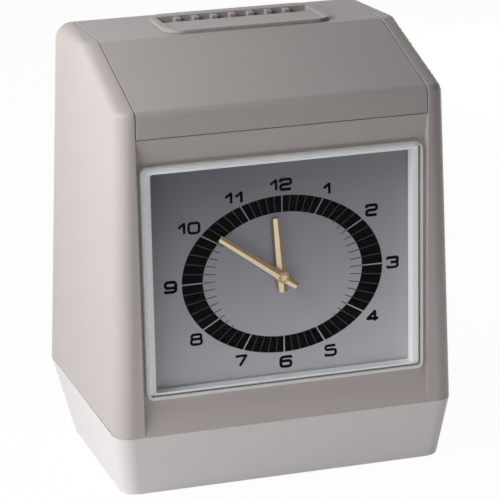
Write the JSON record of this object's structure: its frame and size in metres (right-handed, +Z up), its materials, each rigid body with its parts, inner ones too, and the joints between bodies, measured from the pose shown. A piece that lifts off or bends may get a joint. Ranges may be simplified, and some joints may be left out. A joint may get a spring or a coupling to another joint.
{
  "type": "time clock",
  "caption": "Desk time recorder: rounded case, oval minute track behind a clear lens, hinged lid with a card inlet, card chute and printing works.",
  "frame": {"origin": "under the middle of the case, on the table that the feet stand on", "axes": "+Z up, -Y out of the dial, +X to the right of someone who reads the dial"},
  "size_m": [0.241, 0.195, 0.2995],
  "materials": {
    "case_plastic": "fine-textured satin, warm grey",
    "lid_plastic": "fine-textured satin, warm grey",
    "lens_clear": "clear, polished",
    "white_plastic": "satin white",
    "dial": "satin grey with printed black track",
    "hand_brass": "satin",
    "brass": "turned",
    "steel": "zinc plated",
    "dark_plastic": "matt black",
    "rubber": "matt",
    "rear_paint": "satin dark grey",
    "type_metal": "dark",
    "ribbon_cloth": "inked",
    "coil": "taped",
    "board": "solder mask",
    "ivory": "satin"
  },
  "bodies": {
    "case": {"case_shell": "case_plastic", "hinge_brackets": "steel", "hinge_pins": "steel", "lens": "lens_clear", "dial_surround": "white_plastic", "dial_plate": "dial", "dial_retainer": "steel", "retainer_screws": "steel", "motion_stud": "steel", "movement_front_plate": "brass", "movement_back_plate": "brass", "movement_pillars": "steel", "motor_can": "steel", "base_plate": "steel", "base_screws": "steel", "feet": "rubber", "rear_cover": "rear_paint", "rear_screws": "steel", "cable_gland": "dark_plastic", "chassis_left": "steel", "chassis_right": "steel", "chute_front": "steel", "chute_back": "steel", "card_stop": "dark_plastic", "ribbon_deck": "steel", "type_bearings": "steel", "ribbon": "ribbon_cloth", "hammer_bracket": "steel", "hammer_pin": "steel", "solenoid_frame": "steel", "solenoid_coil": "coil", "lever_pin": "steel", "microswitch": "dark_plastic", "transformer_core": "steel", "transformer_coil": "coil", "terminal_block": "ivory", "power_board": "board", "lock_barrel": "steel"},
    "lid": {"lid": "lid_plastic", "card_inlet": "lid_plastic"},
    "minute_work": {"minute_hand": "hand_brass", "minute_arbor": "brass", "great_wheel": "brass"},
    "hour_work": {"hour_hand": "hand_brass", "hour_wheel": "brass"},
    "motion_wheel": {"motion_wheel": "brass"},
    "motor_pinion": {"motor_pinion": "brass"},
    "minute_type": {"type_shaft": "steel", "minute_type_wheel": "type_metal", "ratchet_wheel": "steel"},
    "hour_type": {"hour_type_wheel": "type_metal"},
    "spool_left": {"spool_left": "dark_plastic"},
    "spool_right": {"spool_right": "dark_plastic"},
    "hammer": {"hammer": "steel"},
    "plunger": {"plunger": "steel"},
    "card_lever": {"card_lever": "steel"},
    "lock_plug": {"lock_plug": "steel"}
  },
  "joints": [
    {"name": "lid_hinge", "type": "hinge", "parent": "case", "child": "lid", "pos_m": [0, 0.06163, 0.285], "axis": [-1, 0, 0], "range_deg": [0, 70]},
    {"name": "minute_hand_turn", "type": "hinge", "parent": "case", "child": "minute_work", "pos_m": [0, -0.0915, 0.1445], "axis": [0, 1, 0], "continuous": true},
    {"name": "hour_hand_turn", "type": "hinge", "parent": "case", "child": "hour_work", "pos_m": [0, -0.0885, 0.1445], "axis": [0, 1, 0], "continuous": true},
    {"name": "motion_wheel_turn", "type": "hinge", "parent": "case", "child": "motion_wheel", "pos_m": [-0.018, -0.0795, 0.1445], "axis": [0, 1, 0], "continuous": true},
    {"name": "motor_pinion_turn", "type": "hinge", "parent": "case", "child": "motor_pinion", "pos_m": [0, -0.0675, 0.1157], "axis": [0, 1, 0], "continuous": true},
    {"name": "minute_type_turn", "type": "hinge", "parent": "case", "child": "minute_type", "pos_m": [0.008, 0.013, 0.2145], "axis": [-1, 0, 0], "continuous": true},
    {"name": "hour_type_turn", "type": "hinge", "parent": "case", "child": "hour_type", "pos_m": [0.013, 0.013, 0.2145], "axis": [-1, 0, 0], "continuous": true},
    {"name": "spool_left_turn", "type": "hinge", "parent": "case", "child": "spool_left", "pos_m": [-0.038, 0.0116, 0.20665], "axis": [0, 0, 1], "continuous": true},
    {"name": "spool_right_turn", "type": "hinge", "parent": "case", "child": "spool_right", "pos_m": [0.054, 0.0116, 0.20665], "axis": [0, 0, 1], "continuous": true},
    {"name": "hammer_swing", "type": "hinge", "parent": "case", "child": "hammer", "pos_m": [0.008, 0.0495, 0.1895], "axis": [1, 0, 0], "range_deg": [0, 9], "stiffness_Nm_per_rad": 0.08, "springref_deg": -11.46},
    {"name": "card_lever_swing", "type": "hinge", "parent": "case", "child": "card_lever", "pos_m": [0.054, 0.0495, 0.118], "axis": [1, 0, 0], "range_deg": [0, 24], "stiffness_Nm_per_rad": 0.01, "springref_deg": -8.59},
    {"name": "lock_turn", "type": "hinge", "parent": "case", "child": "lock_plug", "pos_m": [0.10719, -0.0375, 0.236], "axis": [1, 0, 0], "range_deg": [0, 90]},
    {"name": "plunger_slide", "type": "slide", "parent": "case", "child": "plunger", "axis": [0, 0, 1], "range_m": [0, 0.003]}
  ],
  "couplings": [
    {"joint": "hour_hand_turn", "follows": "minute_hand_turn", "ratio": 0.083333},
    {"joint": "motion_wheel_turn", "follows": "minute_hand_turn", "ratio": -0.33333},
    {"joint": "motor_pinion_turn", "follows": "minute_hand_turn", "ratio": -5},
    {"joint": "hour_type_turn", "follows": "minute_type_turn", "ratio": 0.041667},
    {"joint": "spool_right_turn", "follows": "spool_left_turn", "ratio": 1},
    {"joint": "plunger_slide", "follows": "hammer_swing", "m_per_rad": 0.015}
  ]
}
